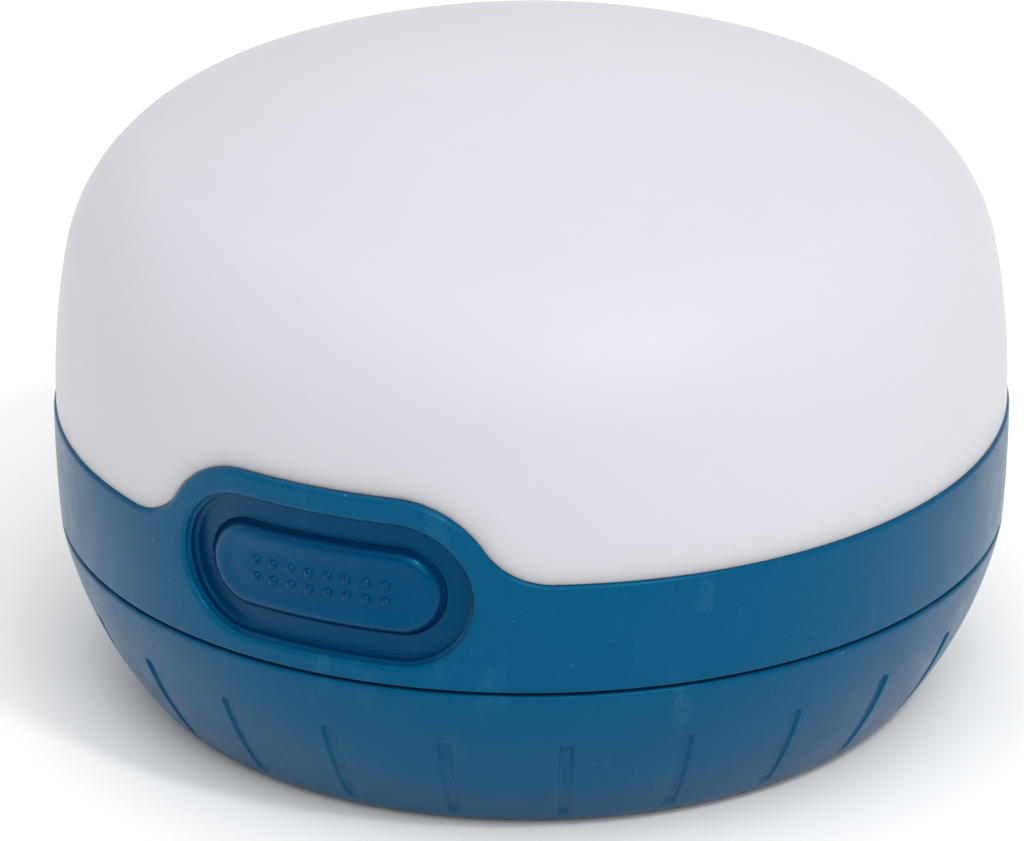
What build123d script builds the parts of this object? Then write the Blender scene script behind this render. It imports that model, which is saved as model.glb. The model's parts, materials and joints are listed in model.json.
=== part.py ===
from build123d import *
import os
from math import atan2, cos, degrees, radians, sin, sqrt

# Compact camping lantern: a frosted globe on a low round body, run from three AAA cells.
#
# Millimetres, +Z up. The origin is the centre of the flat underside, and the button faces -Y.
# The lower shell twists off its three bayonet ledges to reach the cells, and two wire hooks fold flat
# into its underside.

# ---- driving dimensions -------------------------------------------------------------------
BODY_R = 36.05          # widest radius, at the top edge of the body ring
SEAM_R = 35.72          # radius where the base and the body ring meet
SEAM_Z = 13.35          # top of the base
SEAM_GAP = 0.30
EDGE_Z = 22.27          # top edge of the body ring
WALL = 1.85             # body ring wall, behind its top edge
GLOBE_R = 35.85
GLOBE_WALL = 1.80

BUTTON_Z = 20.85        # height of the button's centre
SPINE = 6.0             # half length of the straight line that every button outline surrounds
CAP_R, MOAT_R, WINDOW_R, BUMP_R = 3.10, 3.50, 5.65, 7.60   # outlines, as distances from it
BUMP_FOOT = 5.5         # radius of the hollow curve where the surround meets the ring's edge
BUMP_TOP_R = 36.25      # radius at the top of the surround, which stands proud of the globe
CAP_DEPTH, FLOOR_DEPTH = 0.40, 1.35                         # below the body surface

CELL_R, CELL_LENGTH, CELL_PITCH, CELL_Z = 5.25, 44.5, 11.3, 10.8

HOOK_WIRE_R = 1.20
HOOK_Z = 1.90
POCKET_R, POCKET_Z = 22.3, 3.4

BASE_FLOOR_Z = 4.8      # inside floor of the base, below the cells
ROOF_LOW = 16.1         # underside of the battery holder's roof, above the cells
LEDGE_IN, LEDGE_LOW, LEDGE_HIGH = 27.0, 17.5, 18.7          # ledge that carries the board
BOARD_LOW, BOARD_HIGH = LEDGE_HIGH, LEDGE_HIGH + 1.6
SCREWS = [(16.8, 24.0), (-16.8, 24.0), (16.8, -24.0), (-16.8, -24.0)]
SCREW_HOLE_R = 1.1

RUN = 0.05              # running clearance of a pivot
GAP = 0.12              # clearance between parts that pass each other
FAR = 60.0              # longer than any part
UPRIGHT = (Align.CENTER, Align.CENTER, Align.MIN)


def turned(*edges):
    """Solid of revolution about Z of a closed outline in the r-z half plane."""
    return revolve(make_face(Plane.XZ * (Curve() + list(edges))), Axis.Z)


def ring(inner, outer, low, high):
    """Plain ring about Z."""
    solid = Pos(0, 0, low) * Cylinder(outer, high - low, align=UPRIGHT)
    if inner:
        solid -= Pos(0, 0, low - 1) * Cylinder(inner, high - low + 2, align=UPRIGHT)
    return solid


def block(x, y, z):
    """Box between two corners given as (low, high) on each axis."""
    return Pos((x[0] + x[1]) / 2, (y[0] + y[1]) / 2, (z[0] + z[1]) / 2) * Box(
        x[1] - x[0], y[1] - y[0], z[1] - z[0])


def rod(x, y, z, radius):
    """Round rod along Z from z[0] to z[1]."""
    return Pos(x, y, z[0]) * Cylinder(radius, z[1] - z[0], align=UPRIGHT)


def tangent_arcs(start, heading, turns, inset=0.0):
    """Arcs that follow on from start, each (radius, heading at its end), moved inward by inset.

    Headings are in degrees from +r. Returns the arcs and the last point.
    """
    r, z = start
    arcs = []
    for radius, end in turns:
        centre_r = r - radius * sin(radians(heading))
        centre_z = z + radius * cos(radians(heading))
        arcs.append(CenterArc((centre_r, centre_z), radius - inset, heading - 90, end - heading))
        r = centre_r + radius * sin(radians(end))
        z = centre_z - radius * cos(radians(end))
        heading = end
    return arcs, (r, z)


def arc_block(inner, outer, low, high, start, end):
    """Stretch of a ring about Z, between two angles in degrees."""
    section = Plane.XZ * Pos((inner + outer) / 2, (low + high) / 2) * Rectangle(outer - inner, high - low)
    return Rot(0, 0, start) * revolve(section, Axis.Z, end - start)


def from_axis(point):
    """Distance of a point from the Z axis."""
    return sqrt(point.X**2 + point.Y**2)


def outline_distance(point):
    """Distance of a point from the button's spine, seen from the front."""
    beyond = max(0.0, abs(point.X) - SPINE)
    return sqrt(beyond**2 + (point.Z - BUTTON_Z) ** 2)


def along(edge):
    """Three points spread along an edge."""
    return [edge @ t for t in (0, 0.5, 1)]


def circles(shape, radius, low, high):
    """Circular edges of that radius whose centres lie between two heights."""
    return [edge for edge in shape.edges().filter_by(GeomType.CIRCLE)
            if abs(edge.radius - radius) < 0.05 and low < edge.center().Z < high]


def stadium(reach):
    """Outline face at a distance of reach from the button's spine, drawn in the X-Z plane."""
    return Plane.XZ * Pos(0, BUTTON_Z) * (
        Rectangle(2 * SPINE, 2 * reach) + Pos(-SPINE, 0) * Circle(reach) + Pos(SPINE, 0) * Circle(reach))


def front_prism(face):
    """Solid of a face in the X-Z plane, pulled out to the front of the body."""
    return extrude(face, FAR, dir=(0, -1, 0))


def edge_outline(clear=0.0, half=FAR):
    """Face below the body ring's top edge, which rises over the button, within half each side."""
    foot = BUMP_FOOT - clear
    radius, top = BUMP_R + clear, EDGE_Z + clear
    rise = top + foot - BUTTON_Z
    centre_x = SPINE + sqrt((radius + foot) ** 2 - rise**2)
    turn = degrees(atan2(rise, centre_x - SPINE))
    right = [
        CenterArc((SPINE, BUTTON_Z), radius, 90, turn - 90),
        CenterArc((centre_x, top + foot), foot, turn - 180, 90 - turn),
    ]
    left = [mirror(edge, Plane.YZ) for edge in right]
    low = 5.0
    sides = Polyline((centre_x, top), (half, top), (half, low), (-half, low), (-half, top), (-centre_x, top))
    crown = Line((-SPINE, BUTTON_Z + radius), (SPINE, BUTTON_Z + radius))
    return Plane.XZ * make_face(Curve() + [crown] + right + left + list(sides.edges()))


# ---- the base ------------------------------------------------------------------------------
BASE_ARC_R, BASE_LEAN, BASE_FOOT_R = 29.45, 12.0, 2.9
BASE_WALL = 1.7
SCOOP_R, SCOOP_Y, SCOOP_Z = 5.2, POCKET_R + 1.5, -2.2       # finger scoops beside the hooks' ends
COLLAR_IN, COLLAR_OUT, COLLAR_TOP = 31.5, 32.7, 17.2
LUG_OUT, CATCH_IN = 33.9, 33.0
SEAL_IN, SEAL_OUT, SEAL_DEPTH = 33.5, 34.9, 0.7

BASE_CR = SEAM_R - BASE_ARC_R * cos(radians(BASE_LEAN))
BASE_CZ = SEAM_Z + BASE_ARC_R * sin(radians(BASE_LEAN))
FOOT_DZ = BASE_FOOT_R - BASE_CZ
FLAT_R = BASE_CR + sqrt((BASE_ARC_R - BASE_FOOT_R) ** 2 - FOOT_DZ**2)
FOOT_ANGLE = degrees(atan2(FOOT_DZ, FLAT_R - BASE_CR))


def base_profile(inset=0.0):
    """Edges of the base's outside, from its top edge to the flat, moved in by inset."""
    lean = -BASE_LEAN
    side = CenterArc((BASE_CR, BASE_CZ), BASE_ARC_R - inset, lean, FOOT_ANGLE - lean)
    foot = CenterArc((FLAT_R, BASE_FOOT_R), BASE_FOOT_R - inset, FOOT_ANGLE, -90 - FOOT_ANGLE)
    top = side @ 0
    rest = Polyline((FLAT_R, inset), (0, inset), (0, top.Y), (top.X, top.Y))
    return [side, foot, *rest.edges()]


def grip_grooves():
    """Shallow upright grooves round the base, one in line with the button, that run out at the foot."""
    count, width, depth, low, high = 24, 1.05, 0.45, 1.4, 8.9
    upright = Plane.YZ * Pos(0, (low + high) / 2) * RectangleRounded(width, high - low, 0.35)
    floor = Pos(0, 0, -depth - 0.05) * turned(*base_profile(depth))
    one = extrude(upright, FAR, dir=(1, 0, 0)) - floor
    return [Rot(0, 0, 360 * i / count) * one for i in range(count)]


BAYONETS = (-30, 90, 210)     # middles of the three bayonet catches, clear of the button
CATCH_SPAN, LUG_SPAN, STOP_SPAN = 24, 18, 2                 # degrees round the body
CATCH_LOW, CATCH_HIGH, LUG_HIGH = 14.0, 15.0, 16.4


def base_shell():
    """The lower shell, with its collar, bayonet lugs, grip grooves and the pocket for the hooks."""
    seam_edge, pocket_edge, straight_z = 0.25, 0.5, BASE_FLOOR_Z + 4
    shell = turned(*base_profile())
    shell += ring(COLLAR_IN - 1, COLLAR_OUT, SEAM_Z - 1, COLLAR_TOP)
    shell -= turned(*base_profile(BASE_WALL)) & ring(0, COLLAR_IN, BASE_FLOOR_Z, FAR)
    shell -= ring(0, COLLAR_IN, straight_z, FAR)
    shell -= ring(0, POCKET_R, -1, POCKET_Z)
    shell -= ring(SEAL_IN, SEAL_OUT, SEAM_Z - SEAL_DEPTH, SEAM_Z + 1)
    shell = fillet(circles(shell, SEAM_R, SEAM_Z - 0.05, SEAM_Z + 0.05), seam_edge)
    shell = fillet(circles(shell, POCKET_R, -0.1, 0.1), pocket_edge)
    for groove in grip_grooves():
        shell -= groove
    for side in (1, -1):
        for x in (HOOK_CLIP_X, -HOOK_CLIP_X):
            shell += hook_clip(x, side)
        shell -= Pos(0, side * SCOOP_Y, SCOOP_Z) * Sphere(SCOOP_R)
    for middle in BAYONETS:
        shell += arc_block(COLLAR_OUT - 0.2, LUG_OUT, CATCH_HIGH + GAP, LUG_HIGH,
                           middle - LUG_SPAN / 2, middle + LUG_SPAN / 2)
    return shell


# ---- the hooks -----------------------------------------------------------------------------
HOOK_AXLE_Y = 3.0
HOOK_CLIP_X = 3.6
HOOK_HALF, HOOK_ARM, HOOK_TIP = 8.0, 9.0, 8.2
AXLE_END = 6.0


def hook_clip(x, side):
    """Block in the pocket that a hook's axle snaps into from below."""
    width, depth, low, corner, mouth = 2.6, 4.6, 0.6, 0.8, 1.8
    y = side * HOOK_AXLE_Y
    clip = block((x - width / 2, x + width / 2), (y - depth / 2, y + depth / 2), (low, POCKET_Z + 0.5))
    clip = fillet(clip.edges().filter_by(Axis.X).group_by(Axis.Z)[0], corner)
    clip -= Pos(x, y, HOOK_Z) * Rot(0, 90, 0) * Cylinder(HOOK_WIRE_R + RUN, width + 2)
    return clip - block((x - width, x + width), (y - mouth / 2, y + mouth / 2), (0, HOOK_Z))


def hook(side):
    """A wire hook lying flat: an axle, one long arm, and a half round that ends in an open tip."""
    bend = 2.2
    axle = Line((AXLE_END, 0), (-HOOK_HALF + bend, 0))
    corner = CenterArc((-HOOK_HALF + bend, bend), bend, 270, -90)
    arm = Line((-HOOK_HALF, bend), (-HOOK_HALF, HOOK_ARM))
    crook = CenterArc((0, HOOK_ARM), HOOK_HALF, 180, -180)
    tip = Line((HOOK_HALF, HOOK_ARM), (HOOK_HALF, HOOK_TIP))
    path = Wire([axle, corner, arm, crook, tip])
    section = Plane((AXLE_END, 0, 0), z_dir=(-1, 0, 0)) * Circle(HOOK_WIRE_R)
    wire = sweep(section, path)
    wire += Pos(AXLE_END, 0, 0) * Sphere(HOOK_WIRE_R)
    wire += Pos(HOOK_HALF, HOOK_TIP, 0) * Sphere(HOOK_WIRE_R)
    wire = Pos(0, HOOK_AXLE_Y, HOOK_Z) * wire
    return wire if side > 0 else Rot(0, 0, 180) * wire


# ---- the body ring -------------------------------------------------------------------------
RING_IN = BODY_R - WALL
BELLY_R, BELLY_PART = 35.97, 0.55     # a point of the bellied wall, that part of the way up
SNAP_ANGLES = (-45, 45, 135, 225)


def ring_shell():
    """The bellied wall, cut to its rising top edge, with a rounded rim, window and foot."""
    low, top = SEAM_Z + SEAM_GAP, BUTTON_Z + BUMP_R + 1
    rim_edge, lip_edge, foot_edge = 0.35, 0.45, 0.2
    outside = ThreePointArc((SEAM_R, low), (BELLY_R, low + BELLY_PART * (EDGE_Z - low)), (BODY_R, EDGE_Z))
    rest = Polyline((BODY_R, EDGE_Z), (BUMP_TOP_R, top), (RING_IN, top), (RING_IN, low), (SEAM_R, low))
    shell = turned(outside, *rest.edges())
    shell &= front_prism(edge_outline()) + block((-FAR, FAR), (-1, FAR), (5, EDGE_Z))
    rim = [edge for edge in shell.edges() if edge.length > 1
           and all(p.Z > EDGE_Z - 0.01 and from_axis(p) > BODY_R - 0.01 for p in along(edge))]
    shell = fillet(rim, rim_edge)
    shell -= front_prism(stadium(WINDOW_R))
    lip = [edge for edge in shell.edges()
           if all(abs(from_axis(p) - BODY_R) < 0.35 and abs(outline_distance(p) - WINDOW_R) < 0.02
                  for p in along(edge))]
    shell = fillet(lip, lip_edge)
    return fillet(circles(shell, SEAM_R, low - 0.01, low + 0.01), foot_edge)


def body_ring():
    """The upper shell: its wall, the board's ledge, the globe's snaps and the bayonet catches."""
    shell = ring_shell()
    shell += ring(LEDGE_IN, RING_IN + 0.5, LEDGE_LOW, LEDGE_HIGH) - block((-12, 12), (-FAR, -32.2), (0, FAR))
    for x, y in SCREWS:
        shell -= rod(x, y, (10, 25), SCREW_HOLE_R)
    for angle in SNAP_ANGLES:
        shell -= Rot(0, 0, angle) * block((RING_IN - 1, RING_IN + 0.7), (-3.2, 3.2), (20.0, 21.5))
    for middle in BAYONETS:
        first, last = middle - CATCH_SPAN / 2, middle + CATCH_SPAN / 2
        for start, high in ((first, CATCH_HIGH), (last - STOP_SPAN, LUG_HIGH)):
            shell += arc_block(CATCH_IN, RING_IN + 0.3, CATCH_LOW, high, start, last)
    return shell


# ---- the button ----------------------------------------------------------------------------
SWITCH_FRONT, SWITCH_BACK, SWITCH_STICK = -29.6, -26.2, 1.0
PLUNGER_R = 0.85


def sleeve(inner, outer):
    """Ring about Z that is taller than the button."""
    return ring(inner, outer, 10, 35)


def button_boot():
    """Rubber moat round the button, moulded into the window."""
    seam, wall = 0.08, 0.45
    boot = sleeve(RING_IN + RUN, BODY_R - CAP_DEPTH) & front_prism(stadium(WINDOW_R - seam))
    boot -= sleeve(BODY_R - FLOOR_DEPTH, FAR) & front_prism(stadium(WINDOW_R - wall))
    return boot - front_prism(stadium(MOAT_R))


def button_cap():
    """The raised key, its grip dots and the stem behind it."""
    face_r, root_r, shoulder = BODY_R - CAP_DEPTH, BODY_R - FLOOR_DEPTH + 0.1, 0.45
    cap = sleeve(RING_IN, face_r) & front_prism(stadium(MOAT_R - 0.1))
    cap -= sleeve(root_r, FAR) - front_prism(stadium(CAP_R))
    top = [edge for edge in cap.edges() if all(abs(from_axis(p) - face_r) < 0.01 for p in along(edge))]
    cap = fillet(top, shoulder)
    pitch, row, count, dot_r, dot_sunk = 1.53, 0.65, 8, 0.34, 0.12
    for i in range(count):
        x = pitch * (i - (count - 1) / 2)
        face_y = -sqrt(face_r**2 - x**2)
        for z in (BUTTON_Z + row, BUTTON_Z - row):
            cap += Pos(x, face_y + dot_sunk, z) * Sphere(dot_r)
    stem_r, stem_end = 1.2, SWITCH_FRONT - SWITCH_STICK - 0.02
    middle, length = (stem_end - RING_IN) / 2, RING_IN + stem_end
    return cap + Pos(0, middle, BUTTON_Z) * Rot(90, 0, 0) * Cylinder(stem_r, length)


def switch_body():
    """Side-pushed switch that stands in a notch in the board's edge."""
    half, half_tall, corner = 3.5, 1.65, 0.3
    body = block((-half, half), (SWITCH_FRONT, SWITCH_BACK), (BUTTON_Z - half_tall, BUTTON_Z + half_tall))
    body = chamfer(body.edges().filter_by(Axis.Y), corner)
    return body - Pos(0, SWITCH_FRONT, BUTTON_Z) * Rot(90, 0, 0) * Cylinder(PLUNGER_R + 0.1, 2.0)


def switch_plunger():
    """The switch's own pin, which the stem pushes."""
    length = SWITCH_STICK + 0.4
    middle = SWITCH_FRONT - SWITCH_STICK + length / 2
    return Pos(0, middle, BUTTON_Z) * Rot(90, 0, 0) * Cylinder(PLUNGER_R, length)


# ---- the globe -----------------------------------------------------------------------------
GLOBE_Z = EDGE_Z + GAP
GLOBE_HEADING = 88.7
GLOBE_TURNS = [(56.6, 100.7), (12.28, 156.1)]
SKIRT_IN, SKIRT_OUT, SKIRT_LOW = 32.7, RING_IN - 0.15, 19.8


def globe():
    """Frosted dome: three tangent arcs, a plain wall, and a skirt that snaps into the body ring."""
    start = (GLOBE_R, GLOBE_Z)
    _, shoulder = tangent_arcs(start, GLOBE_HEADING, GLOBE_TURNS)
    last = GLOBE_TURNS[-1][1]
    turns = GLOBE_TURNS + [(shoulder[0] / sin(radians(180 - last)), 180)]
    solids = []
    for inset in (0.0, GLOBE_WALL):
        arcs, apex = tangent_arcs(start, GLOBE_HEADING, turns, inset)
        first, top = arcs[0] @ 0, (0, apex[1] - inset)
        rest = Polyline(top, (0, 20), (first.X, 20), (first.X, first.Y))
        solids.append(turned(*arcs, *rest.edges()))
    dome = (solids[0] - solids[1]) & ring(0, FAR, GLOBE_Z, FAR)
    skirt = Polyline((SKIRT_IN, SKIRT_LOW), (SKIRT_OUT, SKIRT_LOW), (SKIRT_OUT, GLOBE_Z), (35.0, GLOBE_Z),
                     (35.0, 23.6), (34.0, 25.0), (SKIRT_IN, 23.6), close=True)
    dome += turned(*skirt.edges())
    for angle in SNAP_ANGLES:
        lug = block((SKIRT_OUT - 0.5, RING_IN + 0.45), (-2.8, 2.8), (20.2, 21.3))
        lug = chamfer(lug.edges().filter_by(Axis.Y).group_by(Axis.X)[-1].group_by(Axis.Z)[0], 0.5)
        dome += Rot(0, 0, angle) * lug
    notch = extrude(edge_outline(GAP, half=16.0), FAR, dir=(0, -1, 0))
    return dome - notch


# ---- inside --------------------------------------------------------------------------------
END_X, SIDE_Y = 24.9, 16.9      # inside of the cells' bay
BAY_WALL = 1.2
TAB_Y = 8.5                     # contact tabs that pass up through the roof
HOLDER_R = 31.2


def at_end(side, first, last):
    """Range of X between two distances inward from that end of the bay."""
    return sorted((side * (END_X - first), side * (END_X - last)))


def battery_holder():
    """Roof and walls that the three cells push up into."""
    foot, rib_half, rib_foot, finger_half = 5.7, 0.25, 11.5, 7.0
    holder = ring(0, HOLDER_R, ROOF_LOW, LEDGE_LOW)
    frame = block((-END_X - BAY_WALL, END_X + BAY_WALL), (-SIDE_Y - BAY_WALL, SIDE_Y + BAY_WALL),
                  (foot, ROOF_LOW + 0.5))
    frame -= block((-END_X, END_X), (-SIDE_Y, SIDE_Y), (0, ROOF_LOW))
    holder += frame & ring(0, HOLDER_R - 0.8, 0, LEDGE_LOW)
    for y in (-CELL_PITCH / 2, CELL_PITCH / 2):
        holder += block((-18, 18), (y - rib_half, y + rib_half), (rib_foot, ROOF_LOW + 0.5))
    holder = fillet(circles(holder, HOLDER_R, LEDGE_LOW - 0.1, LEDGE_LOW + 0.1), 0.3)
    for side in (1, -1):
        holder -= block(at_end(side, 0.5, 0), (-side * TAB_Y - 1.1, -side * TAB_Y + 1.1), (10, FAR))
        through_wall = sorted((side * (SIDE_Y - 1), side * (SIDE_Y + 2)))
        holder -= block((-finger_half, finger_half), through_wall, (0, 12))
    for x, y in SCREWS:
        holder -= rod(x, y, (10, 25), SCREW_HOLE_R)
    return holder


def cell(index, flip):
    """AAA cell: a can with a rounded rim and a raised button at its positive end."""
    button_length, button_r, end_x = 0.9, 1.9, 20.9
    can_length = CELL_LENGTH - button_length
    can = fillet(Cylinder(CELL_R, can_length, align=UPRIGHT).edges(), 0.5)
    button = Pos(0, 0, can_length) * Cylinder(button_r, button_length, align=UPRIGHT)
    body = can + fillet(button.edges().group_by(Axis.Z)[-1], 0.3)
    body = Pos(-end_x, 0, 0) * Rot(0, 90, 0) * body
    return Pos(0, CELL_PITCH * index, CELL_Z) * (Rot(0, 0, 180) * body if flip else body)


def contact(side, low, high, bosses, tab=None):
    """Nickel contact plate at one end of the bay, with a raised boss for each positive end."""
    thick, foot, head = 0.4, 6.6, 15.8
    plate = block(at_end(side, thick, 0), (low, high), (foot, head))
    plate = fillet(plate.edges().filter_by(Axis.X), 1.0)
    for y in bosses:
        plate += Pos(side * (END_X - 0.65), y, CELL_Z) * Rot(0, -90 * side, 0) * Cone(2.6, 1.6, 1.1)
    if tab is not None:
        plate += block(at_end(side, thick, 0), (tab - 1, tab + 1), (head - 1.8, BOARD_HIGH + 0.6))
    return plate


def contact_springs():
    """Cone springs behind the three negative ends, drawn squeezed."""
    wire, height, turns, wide, narrowing = 0.3, 3.3, 4, 3.4, 1.1
    rise = height - 2 * wire
    coil = Helix(rise / turns, rise, wide, cone_angle=-degrees(atan2(narrowing, rise)))
    section = Plane(coil @ 0, x_dir=(0, 0, 1), z_dir=coil % 0) * Circle(wire)
    spring = Pos(0, 0, wire) * sweep(section, coil, is_frenet=True)
    return Compound(children=[
        Pos(side * (END_X - 0.45), y, CELL_Z) * Rot(0, -90 * side, 0) * spring
        for side, y in ((-1, -CELL_PITCH), (1, 0), (-1, CELL_PITCH))])


def main_board():
    """Round circuit board that lies on the body ring's ledge."""
    board = ring(0, 31.0, BOARD_LOW, BOARD_HIGH)
    board -= block((-3.7, 3.7), (-FAR, SWITCH_BACK + 0.2), (0, FAR))
    for side in (1, -1):
        board -= block(at_end(side, 0.6, -0.2), (-side * TAB_Y - 1.2, -side * TAB_Y + 1.2), (0, FAR))
    for x, y in SCREWS:
        board -= rod(x, y, (10, 25), SCREW_HOLE_R)
    return board


LED_TOP = BOARD_HIGH + 0.9


def led_package():
    """Square light emitter in the middle of the board."""
    half, corner = 1.75, 0.3
    body = block((-half, half), (-half, half), (BOARD_HIGH, LED_TOP))
    return chamfer(body.edges().filter_by(Axis.Z), corner)


def led_lens():
    """Clear dome on the emitter."""
    return (Pos(0, 0, LED_TOP) * Sphere(1.45)) & ring(0, 5, LED_TOP, FAR)


def driver_chip():
    """Eight-legged driver chip."""
    x, y, half_x, half_y, tall = 8.5, 8.0, 2.0, 2.5, 1.4
    pitch, leg_out, leg_thick = 1.27, 1.0, 0.35
    heights = (BOARD_HIGH + 0.1, BOARD_HIGH + 0.1 + tall)
    body = block((x - half_x, x + half_x), (y - half_y, y + half_y), heights)
    for side in (1, -1):
        for i in range(4):
            leg_y = y + pitch * (i - 1.5)
            leg_x = sorted((x + side * (half_x - 0.1), x + side * (half_x + leg_out)))
            body += block(leg_x, (leg_y - 0.2, leg_y + 0.2), (BOARD_HIGH, BOARD_HIGH + leg_thick))
    return body


def inductor():
    """Round shielded inductor."""
    body = rod(-9.0, 7.5, (BOARD_HIGH, BOARD_HIGH + 1.6), 2.8)
    return chamfer(body.edges().group_by(Axis.Z)[-1], 0.4)


def capacitors():
    """Three small ceramic capacitors, apart on the board."""
    spots = [(4.0, -10.0), (7.0, -10.0), (-6.0, -9.0)]
    return Compound(children=[
        block((x - 0.8, x + 0.8), (y - 0.5, y + 0.5), (BOARD_HIGH, BOARD_HIGH + 0.9)) for x, y in spots])


REFLECTOR_IN_Z, REFLECTOR_OUT_Z, REFLECTOR_R, REFLECTOR_HOLE = 22.6, 26.0, 32.3, 4.0


def reflector():
    """White dish over the board, with four bosses for the screws from below."""
    thick, boss_r, bore_r, beyond = 1.0, 2.4, 1.0, REFLECTOR_R + 5
    dish = Polyline((REFLECTOR_HOLE, REFLECTOR_IN_Z - thick), (REFLECTOR_R, REFLECTOR_OUT_Z - thick),
                    (REFLECTOR_R, REFLECTOR_OUT_Z), (REFLECTOR_HOLE, REFLECTOR_IN_Z), close=True)
    above = turned(*Polyline(
        (0, REFLECTOR_IN_Z - 0.9), (REFLECTOR_HOLE, REFLECTOR_IN_Z - 0.9), (beyond, REFLECTOR_OUT_Z - 0.3),
        (beyond, FAR), (0, FAR), close=True).edges())
    body = turned(*dish.edges())
    for x, y in SCREWS:
        body += rod(x, y, (BOARD_HIGH, REFLECTOR_OUT_Z), boss_r) - above
        body -= rod(x, y, (BOARD_HIGH - 1, REFLECTOR_IN_Z + 1.2), bore_r)
    return body


def clamp_screws():
    """Four cross-head screws that hold the holder, ledge, board and reflector together."""
    head_r, head_tall, shank_r, shank_top = 1.9, 1.3, 0.95, 23.4
    slot, slot_half, slot_top = 1.1, 0.22, ROOF_LOW - 0.6
    screws = []
    for x, y in SCREWS:
        head = rod(x, y, (ROOF_LOW - head_tall, ROOF_LOW), head_r)
        head = fillet(head.edges().group_by(Axis.Z)[0], 0.6)
        head -= block((x - slot, x + slot), (y - slot_half, y + slot_half), (0, slot_top))
        head -= block((x - slot_half, x + slot_half), (y - slot, y + slot), (0, slot_top))
        screws.append(head + rod(x, y, (ROOF_LOW, shank_top), shank_r))
    return Compound(children=screws)


def base_seal():
    """Flat rubber ring in the top of the base, pressed against the body ring."""
    return ring(SEAL_IN + 0.05, SEAL_OUT - 0.05, SEAM_Z - SEAL_DEPTH, SEAM_Z + SEAM_GAP - 0.02)


def battery_pad():
    """Foam pad on the base's floor, which keeps the cells quiet."""
    pad = block((-19, 19), (-15, 15), (BASE_FLOOR_Z, CELL_Z - CELL_R - 0.3))
    return fillet(pad.edges().filter_by(Axis.Z), 3.0)


def write_parts():
    """Builds every piece and writes one STEP for each."""
    pieces = {
        "base_shell": base_shell(),
        "base_seal": base_seal(),
        "battery_pad": battery_pad(),
        "hook_left": hook(-1),
        "hook_right": hook(1),
        "body_ring": body_ring(),
        "button_boot": button_boot(),
        "button_cap": button_cap(),
        "switch_body": switch_body(),
        "switch_plunger": switch_plunger(),
        "globe": globe(),
        "battery_holder": battery_holder(),
        "battery_cell_front": cell(-1, False),
        "battery_cell_middle": cell(0, True),
        "battery_cell_rear": cell(1, False),
        "contact_positive": contact(1, -CELL_PITCH - 4, -CELL_PITCH + 4, [-CELL_PITCH], tab=-TAB_Y),
        "contact_bridge_right": contact(1, -4, CELL_PITCH + 4, [CELL_PITCH]),
        "contact_bridge_left": contact(-1, -CELL_PITCH - 4, 4, [0]),
        "contact_negative": contact(-1, CELL_PITCH - 4, CELL_PITCH + 4, [], tab=TAB_Y),
        "contact_springs": contact_springs(),
        "main_board": main_board(),
        "led_package": led_package(),
        "led_lens": led_lens(),
        "driver_chip": driver_chip(),
        "inductor": inductor(),
        "capacitors": capacitors(),
        "reflector": reflector(),
        "clamp_screws": clamp_screws(),
    }
    os.makedirs("parts", exist_ok=True)
    for name, shape in pieces.items():
        export_step(shape, f"parts/{name}.step")


write_parts()
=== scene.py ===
import bmesh
import bpy
import json
from math import acos, asin, atan2, cos, degrees, pi, radians, sin, sqrt
from mathutils import Matrix, Vector


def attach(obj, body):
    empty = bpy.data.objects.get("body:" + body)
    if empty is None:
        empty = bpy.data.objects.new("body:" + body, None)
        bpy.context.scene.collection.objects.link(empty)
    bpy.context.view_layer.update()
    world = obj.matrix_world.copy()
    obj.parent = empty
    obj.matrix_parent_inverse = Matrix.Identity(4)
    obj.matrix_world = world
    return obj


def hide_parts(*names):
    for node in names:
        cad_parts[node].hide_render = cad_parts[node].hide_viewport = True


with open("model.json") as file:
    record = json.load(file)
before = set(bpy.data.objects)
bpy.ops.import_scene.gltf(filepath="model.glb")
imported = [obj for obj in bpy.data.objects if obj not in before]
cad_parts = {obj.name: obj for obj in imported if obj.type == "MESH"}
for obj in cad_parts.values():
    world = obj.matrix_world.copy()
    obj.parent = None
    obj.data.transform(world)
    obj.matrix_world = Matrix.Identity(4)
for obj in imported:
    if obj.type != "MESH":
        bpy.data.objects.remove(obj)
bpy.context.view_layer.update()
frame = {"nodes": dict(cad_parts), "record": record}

# Everything is in metres, in the model's own frame: +Z up, origin at the centre of the underside.
MM = 0.001


# ---- materials ----------------------------------------------------------------------------
def srgb(red, green, blue):
    """Linear colour of a display colour given as 0 to 255."""
    return tuple(((c / 255 + 0.055) / 1.055) ** 2.4 if c > 10 else c / 255 / 12.92
                 for c in (red, green, blue)) + (1.0,)


def shader(name, **sockets):
    """New material whose Principled shader has these sockets set."""
    material = bpy.data.materials.new(name)
    material.use_nodes = True
    bsdf = material.node_tree.nodes["Principled BSDF"]
    for socket, value in sockets.items():
        bsdf.inputs[socket.replace("_", " ")].default_value = value
    return material


def add(tree, kind, **values):
    """New node of that kind; values set its properties if it has them, and else its sockets."""
    node = tree.nodes.new("ShaderNode" + kind)
    for key, value in values.items():
        if hasattr(node, key):
            setattr(node, key, value)
        else:
            node.inputs[key.replace("_", " ")].default_value = value
    return node


def place(tree):
    """Output of each point's place on its piece, in metres."""
    return add(tree, "TexCoord").outputs["Object"]


def noise(tree, scale, detail=3.0):
    """Factor output of a noise that sticks to the piece. scale is in cells to the metre."""
    pattern = add(tree, "TexNoise", Scale=scale, Detail=detail)
    tree.links.new(place(tree), pattern.inputs["Vector"])
    return pattern.outputs["Fac"]


def ramp(tree, factor, low, high, first, last):
    """Output that runs from first to last while factor goes from low to high."""
    node = add(tree, "MapRange", From_Min=low, From_Max=high, To_Min=first, To_Max=last)
    tree.links.new(factor, node.inputs["Value"])
    return node.outputs["Result"]


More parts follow.
